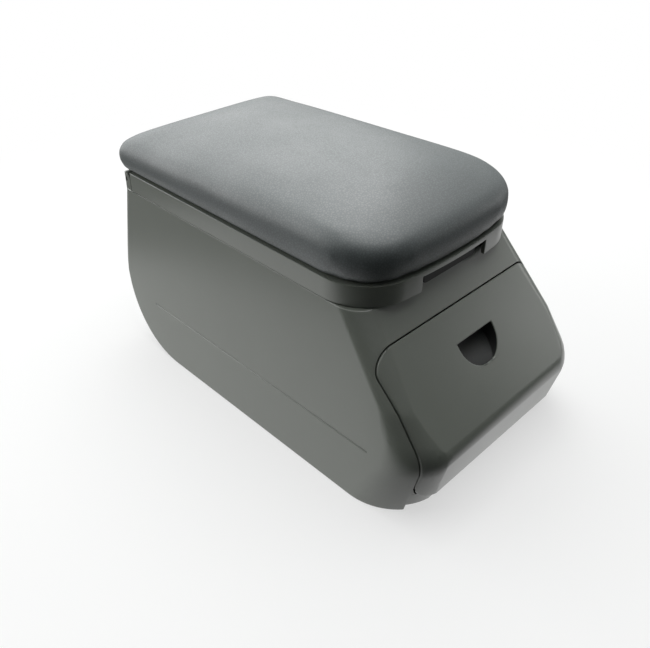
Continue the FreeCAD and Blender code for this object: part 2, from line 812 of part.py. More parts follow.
def screws(places, length):
    return [screw(place, way, length) for place, way in places]


nodes = {
    "body_shell": make_body_shell(),
    "base_plate": make_base_plate(),
    "base_screws": screws(base_screw_places(), base_screw_length),
    "lid_hinge_pin": make_hinge_pin(),
    "lid_bumpers": make_lid_bumpers(),
    "latch_keeper": make_latch_keeper(),
    "keeper_screws": screws(keeper_screw_places(), keeper_screw_length),
    "flap_pivot_pins": make_flap_pins(),
    "flap_bumpers": make_flap_bumpers(),
    "lid_frame": make_lid_frame(),
    "lid_board": make_lid_board(),
    "lid_cushion": make_lid_cushion(),
    "lid_inner_panel": make_lid_panel(),
    "lid_screws": screws(lid_screw_places(), lid_screw_length),
    "latch_pin": make_latch_pin(),
    "latch_spring": make_latch_spring(),
    "latch_lever": make_latch_lever(),
    "flap_panel": make_flap_panel(),
    "flap_tub": make_flap_tub(),
    "flap_screws": screws(flap_screw_places(), flap_screw_length),
}

os.makedirs("parts", exist_ok=True)
for name, made in nodes.items():
    shape = Part.makeCompound(made) if isinstance(made, list) else made
    solids = shape.Solids
    shape = Part.makeCompound(solids) if len(solids) > 1 else solids[0]
    print(name, len(solids), shape.isValid(), round(shape.Volume), shape.BoundBox)
    shape.exportStep("parts/" + name + ".step")
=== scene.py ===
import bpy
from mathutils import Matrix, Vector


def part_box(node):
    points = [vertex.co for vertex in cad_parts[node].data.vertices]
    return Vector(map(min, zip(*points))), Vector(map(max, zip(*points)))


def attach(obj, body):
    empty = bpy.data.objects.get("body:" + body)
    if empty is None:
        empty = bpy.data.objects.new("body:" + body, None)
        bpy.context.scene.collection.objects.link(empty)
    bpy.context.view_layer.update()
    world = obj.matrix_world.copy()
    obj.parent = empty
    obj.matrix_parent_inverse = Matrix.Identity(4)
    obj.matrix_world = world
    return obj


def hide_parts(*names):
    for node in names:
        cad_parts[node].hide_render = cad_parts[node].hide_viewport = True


bl_info = {
    "name": "Center Console Dressing",
    "version": (1, 0, 0),
    "blender": (4, 5, 0),
    "location": "View3D > Sidebar > Console",
    "description": "Dresses the packed center console: cushion, moulded plastic, fasteners and stage",
    "category": "Object",
}

import math

import bmesh
import bpy
import numpy as np
from mathutils import Matrix, Vector
from mathutils.bvhtree import BVHTree

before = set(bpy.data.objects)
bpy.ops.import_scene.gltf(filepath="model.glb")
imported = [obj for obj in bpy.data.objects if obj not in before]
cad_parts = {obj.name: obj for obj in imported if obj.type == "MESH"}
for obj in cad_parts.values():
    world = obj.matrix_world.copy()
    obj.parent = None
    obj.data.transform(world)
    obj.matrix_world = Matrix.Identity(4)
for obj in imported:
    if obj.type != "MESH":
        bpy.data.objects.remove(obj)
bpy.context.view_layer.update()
CUSHION_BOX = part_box("lid_cushion")
FRAME_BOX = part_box("lid_frame")

# Rounded mouldings: angles of the edges that are joined, rounded or shaded sharp, and shares of the rounding
MERGE_DISTANCE = 2e-6
FLAT_ANGLE = math.radians(0.4)
ROUNDED_ANGLE = math.radians(28)
SHARP_ANGLE = math.radians(32)
SCREW_SHARP_ANGLE = math.radians(30)
FACE_WEIGHT = 100
FINE_SHARE = 0.5
LINING_SHARE = 0.6
FLAP_SHARE = 1.3
STRIKE_ROUND = 0.00022
RUBBER_ROUND = 0.0006

# Cushion: shares of its height and width, mesh steps, and the run that swells it
LEAST_CORNER = 0.006
UPRIGHT_SHARE = 0.55
FOOT_SHARE = 0.35
SPINE_SHARE = 0.6
BOW_STEPS = 13
CORNER_STEPS = 21
SIDE_STEPS = 41
REAR_CORNER_STEPS = 13
REAR_STEPS = 17
SHOULDER_STEPS = 13
TOP_STEPS = 14
FOOT_HEIGHT = 0.0015
SMOOTH_ROUNDS = 3
HELD_HEIGHT = 0.002
HELD_FADE = 0.010
SWELL_FRAMES = 20
SWELL_PRESSURE = 4.0
SWELL_SPREAD = 40
LEAST_MOVE = 1e-9
COVER_STIFFNESS = 25.0

# Finger scoop, darkened as painted shade: the plane of the slanted face, and how wide, how high and how deep
# the scoop lies in it
SLANT_OUT = Vector((0.0, -0.76339, 0.64594))
SLANT_OFFSET = 0.149906
SCOOP_HALF_WIDTH = 0.0192
SCOOP_HEIGHTS = (0.055, 0.0905)
SCOOP_DEPTHS = (0.0008, 0.0115)
SCOOP_FACING = -0.1

# Hardware: how near a screw's end its end points lie, mesh steps, and the spring's pitch in wire radii
END_MARGIN = 1e-5
SCREW_SIDES = 28
COIL_STEPS = 28
WIRE_SIDES = 10
COIL_PITCH = 2.05

# Stage: floor, lamps with their place, size and power, and the ways in which reflections dim
FLOOR_HALF_SIZE = 6.0
FLOOR_DROP = 0.0004
LAMP_TARGET = Vector((0.0, 0.0, 0.09))
LAMPS = [
    ("rear_softbox", (0.60, 1.10, 1.10), 1.7, 19.5),
    ("upper_softbox", (0.35, 0.10, 1.40), 1.5, 15.5),
    ("left_softbox", (-1.00, 1.60, 0.70), 2.0, 31.0),
    ("front_softbox", (1.35, -0.80, 0.20), 0.8, 2.4)]
TOWARD_CAMERA = (-0.697, -0.717, 0.0)
OUT_IN_FRONT = (-0.403, -1.078, 0.0)
WHITE = (1.0, 1.0, 1.0, 1.0)
SENSOR_WIDTH = 36.0
CLIP_START = 0.01


# Sizes and colours that a user may change

class CushionSettings(bpy.types.PropertyGroup):
    overhang: bpy.props.FloatProperty(
        name="Overhang", description="How far the cushion stands out over the lid frame",
        default=0.0020, unit="LENGTH")
    rear_overhang: bpy.props.FloatProperty(
        name="Rear Overhang", description="How much further the cushion stands out over the hinge",
        default=0.0020, unit="LENGTH")
    foot_inset: bpy.props.FloatProperty(
        name="Foot Inset", description="How far the cover draws in where it meets the frame",
        default=0.0024, unit="LENGTH")
    edge_run: bpy.props.FloatProperty(
        name="Edge Run", description="Width of the rounded shoulder seen from above",
        default=0.0125, unit="LENGTH")
    side_edge: bpy.props.FloatProperty(
        name="Side Edge", description="Height of the shoulder along the sides",
        default=0.0335, unit="LENGTH")
    rear_edge: bpy.props.FloatProperty(
        name="Rear Edge", description="Height of the shoulder at the hinge",
        default=0.0255, unit="LENGTH")
    front_drop: bpy.props.FloatProperty(
        name="Front Drop", description="How much lower the shoulder runs round the front",
        default=0.0050, unit="LENGTH")
    front_fade: bpy.props.FloatProperty(
        name="Front Fade", description="Length over which the shoulder comes down to the front",
        default=0.0550, unit="LENGTH")
    rear_crest: bpy.props.FloatProperty(
        name="Rear Crest", description="Height of the middle of the top near the hinge",
        default=0.0335, unit="LENGTH")
    front_crest: bpy.props.FloatProperty(
        name="Front Crest", description="Height of the middle of the top near the front",
        default=0.0445, unit="LENGTH")
    rear_corner: bpy.props.FloatProperty(
        name="Rear Corner", description="Corner radius at the hinge, seen from above",
        default=0.0070, unit="LENGTH")
    front_corner: bpy.props.FloatProperty(
        name="Front Corner", description="Corner radius at the front, seen from above",
        default=0.0390, unit="LENGTH")
    front_bow: bpy.props.FloatProperty(
        name="Front Bow", description="Radius of the bowed front edge, seen from above",
        default=0.4320, unit="LENGTH")
    voxel: bpy.props.FloatProperty(
        name="Voxel", description="Mesh size of the foam before it is simulated",
        default=0.0045, unit="LENGTH")
    swell_cap: bpy.props.FloatProperty(
        name="Swell Cap", description="The most that a point of the cover may move",
        default=0.0022, unit="LENGTH")
    colour: bpy.props.FloatVectorProperty(
        name="Leatherette", description="Colour of the cover", subtype="COLOR", size=3,
        default=(0.102, 0.122, 0.122))


class PlasticSettings(bpy.types.PropertyGroup):
    shell_colour: bpy.props.FloatVectorProperty(
        name="Shell", description="Colour of the moulded shell and flap", subtype="COLOR", size=3,
        default=(0.198, 0.216, 0.188))
    frame_colour: bpy.props.FloatVectorProperty(
        name="Lid Frame", description="Colour of the lid frame", subtype="COLOR", size=3,
        default=(0.188, 0.206, 0.178))
    # Very dark, partly as painted shade: it darkens the latch paddle in its notch and the finger scoop,
    # besides the tub, lining and floor plate
    inner_and_shade_colour: bpy.props.FloatVectorProperty(
        name="Inner Mouldings", description="Colour of the tub, lining and latch", subtype="COLOR",
        size=3, default=(0.028, 0.030, 0.029))
    edge_round: bpy.props.FloatProperty(
        name="Edge Round", description="Rounding of moulded edges", default=0.0005, unit="LENGTH")


class HardwareSettings(bpy.types.PropertyGroup):
    recess_width: bpy.props.FloatProperty(
        name="Recess Width", description="Width of the cross recess in a screw head",
        default=0.0008, unit="LENGTH")
    recess_reach: bpy.props.FloatProperty(
        name="Recess Reach", description="Length of the cross recess in a screw head",
        default=0.0036, unit="LENGTH")
    recess_depth: bpy.props.FloatProperty(
        name="Recess Depth", description="Depth of the cross recess in a screw head",
        default=0.0011, unit="LENGTH")
    wire_radius: bpy.props.FloatProperty(
        name="Wire Radius", description="Half thickness of the latch spring's wire",
        default=0.00034, unit="LENGTH")
    steel_colour: bpy.props.FloatVectorProperty(
        name="Steel", description="Colour of pins, screws and strike", subtype="COLOR", size=3,
        default=(0.60, 0.61, 0.62))


class StageSettings(bpy.types.PropertyGroup):
    azimuth: bpy.props.FloatProperty(
        name="Azimuth", description="Direction of the camera round the part",
        default=math.radians(-44.17), subtype="ANGLE")
    elevation: bpy.props.FloatProperty(
        name="Elevation", description="Height of the camera over the horizon",
        default=math.radians(33.36), subtype="ANGLE")
    camera_place: bpy.props.FloatVectorProperty(
        name="Camera Place", description="Where the camera stands", subtype="TRANSLATION", size=3,
        default=(-0.3357, -0.3159, 0.3605))
    lens: bpy.props.FloatProperty(
        name="Lens", description="Focal length for a 36 mm sensor, in millimetres", default=39.85)
    shift_x: bpy.props.FloatProperty(
        name="Shift X", description="Sideways shift of the picture", default=0.0260)
    shift_y: bpy.props.FloatProperty(
        name="Shift Y", description="Upward shift of the picture", default=-0.0463)


# Mesh helpers

def piece_from_bmesh(form, name, body, material, stands_for=()):
    """Makes a piece of a finished form that rides on a body and takes a material."""
    mesh = bpy.data.meshes.new(name)
    form.to_mesh(mesh)
    form.free()
    piece = bpy.data.objects.new(name, mesh)
    bpy.context.scene.collection.objects.link(piece)
    return settle(piece, body, material, stands_for)


def settle(piece, body, material, stands_for=()):
    """Gives a piece its material, its body, and the nodes that it stands for."""
    piece.data.materials.clear()
    piece.data.materials.append(material)
    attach(piece, body)
    if stands_for:
        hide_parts(*stands_for)
    return piece


def merged_copy(node):
    """A closed copy of a CAD node, its doubled points joined."""
    form = bmesh.new()
    form.from_mesh(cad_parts[node].data)
    bmesh.ops.remove_doubles(form, verts=form.verts, dist=MERGE_DISTANCE)
    return form


def softened_piece(node, name, body, width, material):
    """A copy of a CAD node with its sharp edges rounded, as a moulding has them.

    A point that the rounding throws further off than its width goes back to the solid.
    """
    form = merged_copy(node)
    bmesh.ops.dissolve_limit(form, angle_limit=FLAT_ANGLE, verts=form.verts, edges=form.edges)
    sharp = [
        edge for edge in form.edges
        if len(edge.link_faces) == 2 and edge.calc_face_angle() > ROUNDED_ANGLE]
    solid = BVHTree.FromBMesh(form)
    bmesh.ops.bevel(
        form, geom=sharp, offset=width, offset_type="OFFSET", segments=2, profile=0.5,
        affect="EDGES", clamp_overlap=False)
    for vertex in form.verts:
        nearest, _, _, off = solid.find_nearest(vertex.co)
        if off > width:
            vertex.co = nearest
    bmesh.ops.triangulate(form, faces=[face for face in form.faces if len(face.verts) > 4])
    for face in form.faces:
        face.smooth = True
    piece = piece_from_bmesh(form, name, body, material, [node])
    piece.data.set_sharp_from_angle(angle=SHARP_ANGLE)
    flat = piece.modifiers.new("Flat Faces", "WEIGHTED_NORMAL")
    flat.keep_sharp = True
    flat.weight = FACE_WEIGHT
    keep_result(piece)
    return piece


def keep_result(piece):
    """Turns what a piece's modifiers make into its plain mesh."""
    graph = bpy.context.evaluated_depsgraph_get()
    piece.data = bpy.data.meshes.new_from_object(piece.evaluated_get(graph))
    piece.modifiers.clear()


def recoat(node, material):
    """Gives a CAD node that stays in view its material."""
    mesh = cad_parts[node].data
    mesh.materials.clear()
    mesh.materials.append(material)


def solid_islands(node):
    """The separate solids of a CAD node, each as an array of its points."""
    form = merged_copy(node)
    left = set(form.verts)
    islands = []
    while left:
        stack = [left.pop()]
        island = []
        while stack:
            vertex = stack.pop()
            island.append(vertex.co[:])
            for edge in vertex.link_edges:
                other = edge.other_vert(vertex)
                if other in left:
                    left.remove(other)
                    stack.append(other)
        islands.append(np.array(island))
    form.free()
    return islands


def screw_frame(points):
    """Head centre, direction, head radius, shank radius and length of a screw's points."""
    middle = points.mean(0)
    axis = np.linalg.svd(points - middle, full_matrices=False)[2][0]
    along = (points - middle) @ axis
    across = np.linalg.norm(points - middle - np.outer(along, axis), axis=1)
    low_end = along < along.min() + END_MARGIN
    high_end = along > along.max() - END_MARGIN
    if across[low_end].max() < across[high_end].max():
        axis, along, low_end, high_end = -axis, -along, high_end, low_end
    place = middle + axis * along.min()
    return place, axis, across[low_end].max(), across[high_end].max(), np.ptp(along)


# Node helpers

def add_node(tree, kind, inputs=(), **values):
    """Adds a node, sets its properties, and sets or links its inputs."""
    node = tree.nodes.new(kind)
    for key, value in values.items():
        setattr(node, key, value)
    for key, value in dict(inputs).items():
        if isinstance(value, bpy.types.NodeSocket):
            tree.links.new(value, node.inputs[key])
        else:
            node.inputs[key].default_value = value
    return node


def eased_range(tree, value, start, end, first, last):
    """A value eased from first to last between start and end."""
    node = add_node(tree, "ShaderNodeMapRange", {
        "Value": value, "From Min": start, "From Max": end, "To Min": first, "To Max": last},
        interpolation_type="SMOOTHSTEP")
    return node.outputs["Result"]


def new_group(name, inputs, outputs):
    """A shader node group with named value sockets."""
    group = bpy.data.node_groups.new(name, "ShaderNodeTree")
    for label, kind, default in inputs:
        socket = group.interface.new_socket(label, in_out="INPUT", socket_type=kind)
        socket.default_value = default
    for label, kind in outputs:
        group.interface.new_socket(label, in_out="OUTPUT", socket_type=kind)
    return group, group.nodes.new("NodeGroupInput"), group.nodes.new("NodeGroupOutput")


def moulded_grain_group():
    """Fine spark-eroded grain of moulded plastic, with a slow waviness under it."""
    group, given, made = new_group(
        "Moulded Grain",
        [("Grain Size", "NodeSocketFloat", 1500.0), ("Roughness", "NodeSocketFloat", 0.45)],
        [("Height", "NodeSocketFloat"), ("Roughness", "NodeSocketFloat")])
    place = add_node(group, "ShaderNodeTexCoord")
    fine = add_node(group, "ShaderNodeTexNoise", {
        "Vector": place.outputs["Object"], "Scale": given.outputs["Grain Size"],
        "Detail": 3.0, "Roughness": 0.6})
    slow = add_node(group, "ShaderNodeTexNoise", {
        "Vector": place.outputs["Object"], "Scale": 38.0, "Detail": 2.0})
    height = add_node(group, "ShaderNodeMath", {
        0: slow.outputs["Fac"], 1: 0.15, 2: fine.outputs["Fac"]}, operation="MULTIPLY_ADD")
    rough = add_node(group, "ShaderNodeMapRange", {
        "Value": slow.outputs["Fac"], "From Min": 0.2, "From Max": 0.8, "To Min": -0.012, "To Max": 0.012})
    total = add_node(group, "ShaderNodeMath", {
        0: rough.outputs["Result"], 1: given.outputs["Roughness"]}, operation="ADD")
    group.links.new(height.outputs[0], made.inputs["Height"])
    group.links.new(total.outputs[0], made.inputs["Roughness"])
    return group


def handled_colour_group():
    """Colour that varies a little, with fine specks of dust."""
    group, given, made = new_group(
        "Handled Colour",
        [("Colour", "NodeSocketColor", (0.1, 0.1, 0.1, 1.0)), ("Mottle", "NodeSocketFloat", 0.06),
         ("Dust", "NodeSocketFloat", 0.06)],
        [("Colour", "NodeSocketColor")])
    place = add_node(group, "ShaderNodeTexCoord")
    cloud = add_node(group, "ShaderNodeTexNoise", {
        "Vector": place.outputs["Object"], "Scale": 16.0, "Detail": 4.0, "Roughness": 0.55})
    level = add_node(group, "ShaderNodeMapRange", {
        "Value": cloud.outputs["Fac"], "From Min": 0.3, "From Max": 0.7, "To Min": -0.5, "To Max": 0.5})
    share = add_node(group, "ShaderNodeMath", {
        0: level.outputs["Result"], 1: given.outputs["Mottle"]}, operation="MULTIPLY")
    gain = add_node(group, "ShaderNodeMath", {0: share.outputs[0], 1: 1.0}, operation="ADD")
    shaded = add_node(group, "ShaderNodeVectorMath", {
        0: given.outputs["Colour"], "Scale": gain.outputs[0]}, operation="SCALE")
    speck = add_node(group, "ShaderNodeTexNoise", {
        "Vector": place.outputs["Object"], "Scale": 420.0, "Detail": 2.0})
    speck_mask = add_node(group, "ShaderNodeMapRange", {
        "Value": speck.outputs["Fac"], "From Min": 0.56, "From Max": 0.78, "To Min": 0.0, "To Max": 1.0})
    dust_share = add_node(group, "ShaderNodeMath", {
        0: speck_mask.outputs["Result"], 1: given.outputs["Dust"]}, operation="MULTIPLY")
    dusted = add_node(group, "ShaderNodeMix", {
        "Factor": dust_share.outputs[0], "A": shaded.outputs["Vector"], "B": (0.45, 0.44, 0.41, 1.0)},
        data_type="RGBA")
    group.links.new(dusted.outputs["Result"], made.inputs["Colour"])
    return group


def hide_grain_group():
    """Pebbled grain of leatherette: cells with soft valleys, and fine pores."""
    group, given, made = new_group(
        "Hide Grain",
        [("Cell Size", "NodeSocketFloat", 620.0), ("Roughness", "NodeSocketFloat", 0.45)],
        [("Height", "NodeSocketFloat"), ("Valley", "NodeSocketFloat"), ("Roughness", "NodeSocketFloat")])
    place = add_node(group, "ShaderNodeTexCoord")
    drift = add_node(group, "ShaderNodeTexNoise", {
        "Vector": place.outputs["Object"], "Scale": 190.0, "Detail": 2.0})
    bend = add_node(group, "ShaderNodeVectorMath", {
        0: drift.outputs["Color"], "Scale": 0.0016}, operation="SCALE")
    bent = add_node(group, "ShaderNodeVectorMath", {
        0: place.outputs["Object"], 1: bend.outputs["Vector"]}, operation="ADD")
    cells = add_node(group, "ShaderNodeTexVoronoi", {
        "Vector": bent.outputs["Vector"], "Scale": given.outputs["Cell Size"]}, feature="DISTANCE_TO_EDGE")
    dome = eased_range(group, cells.outputs["Distance"], start=0.0, end=0.28, first=0.0, last=1.0)
    pore = add_node(group, "ShaderNodeTexNoise", {
        "Vector": place.outputs["Object"], "Scale": 2400.0, "Detail": 2.0})
    height = add_node(group, "ShaderNodeMath", {
        0: pore.outputs["Fac"], 1: 0.25, 2: dome}, operation="MULTIPLY_ADD")
    valley = add_node(group, "ShaderNodeMath", {0: 1.0, 1: dome}, operation="SUBTRACT")
    slow = add_node(group, "ShaderNodeTexNoise", {
        "Vector": place.outputs["Object"], "Scale": 22.0, "Detail": 3.0})
    rub = add_node(group, "ShaderNodeMapRange", {
        "Value": slow.outputs["Fac"], "From Min": 0.3, "From Max": 0.7, "To Min": -0.04, "To Max": 0.04})
    rough = add_node(group, "ShaderNodeMath", {
        0: valley.outputs[0], 1: 0.10, 2: rub.outputs["Result"]}, operation="MULTIPLY_ADD")
    total = add_node(group, "ShaderNodeMath", {
        0: rough.outputs[0], 1: given.outputs["Roughness"]}, operation="ADD")
    group.links.new(height.outputs[0], made.inputs["Height"])
    group.links.new(valley.outputs[0], made.inputs["Valley"])
    group.links.new(total.outputs[0], made.inputs["Roughness"])
    return group


def grain_node(tree, size, roughness):
    """A node of the moulded grain group, which is made when it is first asked for."""
    group = bpy.data.node_groups.get("Moulded Grain") or moulded_grain_group()
    return add_node(tree, "ShaderNodeGroup", {"Grain Size": size, "Roughness": roughness}, node_tree=group)


def tone_node(tree, colour, **amounts):
    """A node of the handled colour group, which is made when it is first asked for."""
    group = bpy.data.node_groups.get("Handled Colour") or handled_colour_group()
    return add_node(tree, "ShaderNodeGroup", {"Colour": (*colour, 1.0), **amounts}, node_tree=group)


def blank_material(name):
    """A material with only its Principled shader and output."""
    material = bpy.data.materials.new(name)
    material.use_nodes = True
    return material, material.node_tree, material.node_tree.nodes["Principled BSDF"]


def add_bump(tree, shader, height, distance, strength):
    """Raises a shader's surface by a height that varies."""
    bump = add_node(tree, "ShaderNodeBump", {"Height": height, "Distance": distance, "Strength": strength})
    tree.links.new(bump.outputs["Normal"], shader.inputs["Normal"])


def plastic_material(name, colour, roughness, grain_size, grain_depth, dust=0.02, gloss=1.0):
    """Satin moulded plastic with fine grain and a slightly uneven colour."""
    if name in bpy.data.materials:
        return bpy.data.materials[name]
    material, tree, shader = blank_material(name)
    grain = grain_node(tree, grain_size, roughness)
    tone = tone_node(tree, colour, Dust=dust)
    tree.links.new(tone.outputs["Colour"], shader.inputs["Base Color"])
    tree.links.new(grain.outputs["Roughness"], shader.inputs["Roughness"])
    shader.inputs["Specular IOR Level"].default_value = gloss
    add_bump(tree, shader, grain.outputs["Height"], distance=grain_depth, strength=0.5)
    return material


def leatherette_material(name, colour):
    """Smooth leatherette: fine pebble grain, darker valleys and a faint sheen."""
    if name in bpy.data.materials:
        return bpy.data.materials[name]
    material, tree, shader = blank_material(name)
    hide = add_node(tree, "ShaderNodeGroup", node_tree=hide_grain_group())
    tone = tone_node(tree, colour, Dust=0.03)
    darker = add_node(tree, "ShaderNodeMath", {
        0: hide.outputs["Valley"], 1: -0.25, 2: 1.0}, operation="MULTIPLY_ADD")
    shaded = add_node(tree, "ShaderNodeVectorMath", {
        0: tone.outputs["Colour"], "Scale": darker.outputs[0]}, operation="SCALE")
    tree.links.new(shaded.outputs["Vector"], shader.inputs["Base Color"])
    tree.links.new(hide.outputs["Roughness"], shader.inputs["Roughness"])
    shader.inputs["Specular IOR Level"].default_value = 1.0
    shader.inputs["Sheen Weight"].default_value = 0.05
    shader.inputs["Sheen Roughness"].default_value = 0.5
    add_bump(tree, shader, hide.outputs["Height"], distance=0.00002, strength=0.4)
    return material


def steel_material(name, colour):
    """Zinc-plated steel with fine grain and an uneven tone."""
    if name in bpy.data.materials:
        return bpy.data.materials[name]
    material, tree, shader = blank_material(name)
    tone = tone_node(tree, colour, Mottle=0.25)
    grain = grain_node(tree, size=2600.0, roughness=0.32)
    tree.links.new(tone.outputs["Colour"], shader.inputs["Base Color"])
    tree.links.new(grain.outputs["Roughness"], shader.inputs["Roughness"])
    shader.inputs["Metallic"].default_value = 1.0
    add_bump(tree, shader, grain.outputs["Height"], distance=0.00002, strength=0.4)
    return material


def board_material(name):
    """Raw fibreboard: short fibres and darker specks."""
    material, tree, shader = blank_material(name)
    place = add_node(tree, "ShaderNodeTexCoord")
    fibre = add_node(tree, "ShaderNodeTexNoise", {
        "Vector": place.outputs["Object"], "Scale": 520.0, "Detail": 5.0, "Roughness": 0.7})
    ramp = add_node(tree, "ShaderNodeValToRGB", {"Fac": fibre.outputs["Fac"]})
    ramp.color_ramp.elements[0].color = (0.20, 0.13, 0.075, 1.0)
    ramp.color_ramp.elements[1].color = (0.46, 0.34, 0.22, 1.0)
    tree.links.new(ramp.outputs["Color"], shader.inputs["Base Color"])
    shader.inputs["Roughness"].default_value = 0.85
    add_bump(tree, shader, fibre.outputs["Fac"], distance=0.0001, strength=0.5)
    return material


def settings():
    """The sizes and colours as they are set in the scene."""
    return bpy.context.scene.console_settings


def shell_plastic():
    return plastic_material(
        "Charcoal Body Plastic", settings().plastic.shell_colour,
        roughness=0.29, grain_size=1500.0, grain_depth=0.00002)


def frame_plastic():
    return plastic_material(
        "Charcoal Frame Plastic", settings().plastic.frame_colour,
        roughness=0.29, grain_size=1500.0, grain_depth=0.00002)


# Dark plastic of the tub, lining and floor plate, and painted shade on the latch paddle in its notch and in
# the finger scoop
def inner_plastic_and_shade():
    return plastic_material(
        "Dark Inner Plastic", settings().plastic.inner_and_shade_colour,
        roughness=0.55, grain_size=1100.0, grain_depth=0.00004, gloss=0.3)


def rubber():
    return plastic_material(
        "Black Rubber", (0.022, 0.022, 0.022),
        roughness=0.75, grain_size=2000.0, grain_depth=0.00006, dust=0.10, gloss=0.4)


def steel():
    return steel_material("Zinc Plated Steel", settings().hardware.steel_colour)


# Cushion

def outline_points(half_width, rear, front, rear_radius, front_radius, bow_radius):
    """Points round the lid seen from above: straight sides, round corners and a bowed front."""
    bow_centre = front + bow_radius
    reach = bow_radius - front_radius
    corner_x = half_width - front_radius
    corner_y = bow_centre - math.sqrt(reach ** 2 - corner_x ** 2)
    bow_turn = math.asin(corner_x / reach)
    rear_x = half_width - rear_radius
    rear_y = rear - rear_radius
    half = []
    for step in np.linspace(0, 1, BOW_STEPS)[:-1]:
        turn = bow_turn * step
        half.append((bow_radius * math.sin(turn), bow_centre - bow_radius * math.cos(turn)))
    for step in np.linspace(0, 1, CORNER_STEPS)[:-1]:
        turn = bow_turn + (math.pi / 2 - bow_turn) * step
        half.append((corner_x + front_radius * math.sin(turn), corner_y - front_radius * math.cos(turn)))
    for step in np.linspace(0, 1, SIDE_STEPS)[:-1]:
        half.append((half_width, corner_y + (rear_y - corner_y) * step))
    for step in np.linspace(0, 1, REAR_CORNER_STEPS)[:-1]:
        turn = math.pi / 2 * step
        half.append((rear_x + rear_radius * math.cos(turn), rear_y + rear_radius * math.sin(turn)))
    for step in np.linspace(0, 1, REAR_STEPS):
        half.append((rear_x * (1 - step), rear))
    half = np.array(half)
    other = half[1:-1][::-1] * (-1, 1)
    return np.vstack([half, other])


def cushion_form(size):
    """Closed foam form: a drawn-in foot, a tight shoulder that dips at the front, a domed top."""
    half_width = FRAME_BOX[1].x
    rear = CUSHION_BOX[1].y - size.overhang
    front = FRAME_BOX[0].y
    low = CUSHION_BOX[0].z

    def outline(inset):
        grow = size.overhang - inset
        return outline_points(
            half_width + grow, rear + grow + size.rear_overhang, front - grow,
            max(size.rear_corner - inset, LEAST_CORNER), max(size.front_corner - inset, LEAST_CORNER),
            size.front_bow)

    def along(points):
        return np.clip((rear - points[:, 1]) / (rear - front), 0.0, 1.0)

    def ring(points, height):
        return np.column_stack([points, low + height])

    foot = outline(size.foot_inset)
    rim = outline(0.0)
    shoulder = outline(size.edge_run)
    dip = np.clip((front + size.front_fade - rim[:, 1]) / size.front_fade, 0.0, 1.0)
    dip = size.front_drop * dip ** 2 * (3 - 2 * dip)
    edge = size.rear_edge + (size.side_edge - size.rear_edge) * along(rim) - dip
    upright = edge * UPRIGHT_SHARE
    middle = shoulder.mean(0)
    spine = np.column_stack([np.zeros(len(rim)), middle[1] + (shoulder[:, 1] - middle[1]) * SPINE_SHARE])
    crest = size.rear_crest + (size.front_crest - size.rear_crest) * along(spine)
    slope = 2 * (crest - edge) / np.linalg.norm(shoulder - spine, axis=1)
    last_turn = np.arctan2((edge - upright) / size.edge_run, slope)
    bulged = foot * FOOT_SHARE + rim * (1 - FOOT_SHARE)
    rings = [ring(foot, 0 * upright), ring(bulged, upright * FOOT_SHARE)]
    for share in np.linspace(0, 1, SHOULDER_STEPS):
        turn = last_turn * share
        points = rim + (shoulder - rim) * (1 - np.cos(turn))[:, None]
        height = upright + (edge - upright) * np.sin(turn)
        rings.append(ring(points, height))
    start, start_height = points, height
    for share in np.linspace(0, 1, TOP_STEPS)[1:-1]:
        points = start * (1 - share) + spine * share
        rings.append(ring(points, start_height + (crest - start_height) * (1 - (1 - share) ** 2)))
    form = bmesh.new()
    rows = [[form.verts.new(point) for point in points] for points in rings]
    count = len(rows[0])
    for lower, upper in zip(rows, rows[1:]):
        for i in range(count):
            j = (i + 1) % count
            form.faces.new((lower[i], lower[j], upper[j], upper[i]))
    form.faces.new(rows[0][::-1])
    form.faces.new(rows[-1])
    bmesh.ops.recalc_face_normals(form, faces=form.faces)
    return form


def swell(piece, size):
    """Blows the cover up a little over its foam, its foot held to the frame.

    The movement is spread over neighbouring points, so that it leaves no dents, and then capped.
    """
    scene = bpy.context.scene
    rest = np.array([vertex.co for vertex in piece.data.vertices])
    held = piece.vertex_groups.new(name="held")
    low = CUSHION_BOX[0].z
    for index, point in enumerate(rest):
        weight = 1.0 - min(1.0, max(0.0, (point[2] - low - HELD_HEIGHT) / HELD_FADE))
        if weight > 0:
            held.add([index], weight, "REPLACE")
    cloth = piece.modifiers.new("Cover", "CLOTH")
    cloth.settings.use_pressure = True
    cloth.settings.uniform_pressure_force = SWELL_PRESSURE
    cloth.settings.vertex_group_mass = "held"
    cloth.settings.effector_weights.gravity = 0.0
    cloth.settings.tension_stiffness = COVER_STIFFNESS
    cloth.settings.compression_stiffness = COVER_STIFFNESS
    for number in range(1, SWELL_FRAMES + 1):
        scene.frame_set(number)
    graph = bpy.context.evaluated_depsgraph_get()
    swollen = np.array([vertex.co for vertex in piece.evaluated_get(graph).data.vertices])
    piece.modifiers.remove(cloth)
    scene.frame_set(1)
    move = swollen - rest
    ends = np.array([edge.vertices for edge in piece.data.edges])
    degree = np.bincount(ends.ravel(), minlength=len(rest))[:, None]
    for _ in range(SWELL_SPREAD):
        total = np.zeros_like(move)
        np.add.at(total, ends[:, 0], move[ends[:, 1]])
        np.add.at(total, ends[:, 1], move[ends[:, 0]])
        move = (move + total / degree) / 2
    length = np.linalg.norm(move, axis=1, keepdims=True)
    capped = np.minimum(length, size.swell_cap)
    final = rest + move * (capped / np.maximum(length, LEAST_MOVE))
    piece.data.vertices.foreach_set("co", final.astype(np.float32).ravel())
    piece.vertex_groups.clear()


def even_out(mesh):
    """Smooths the voxel steps out of the top and sides and keeps the flat foot."""
    form = bmesh.new()
    form.from_mesh(mesh)
    low = CUSHION_BOX[0].z
    free = [vertex for vertex in form.verts if vertex.co.z > low + FOOT_HEIGHT]
    for _ in range(SMOOTH_ROUNDS):
        bmesh.ops.smooth_vert(
            form, verts=free, factor=0.5, use_axis_x=True, use_axis_y=True, use_axis_z=True)
    form.to_mesh(mesh)
    form.free()


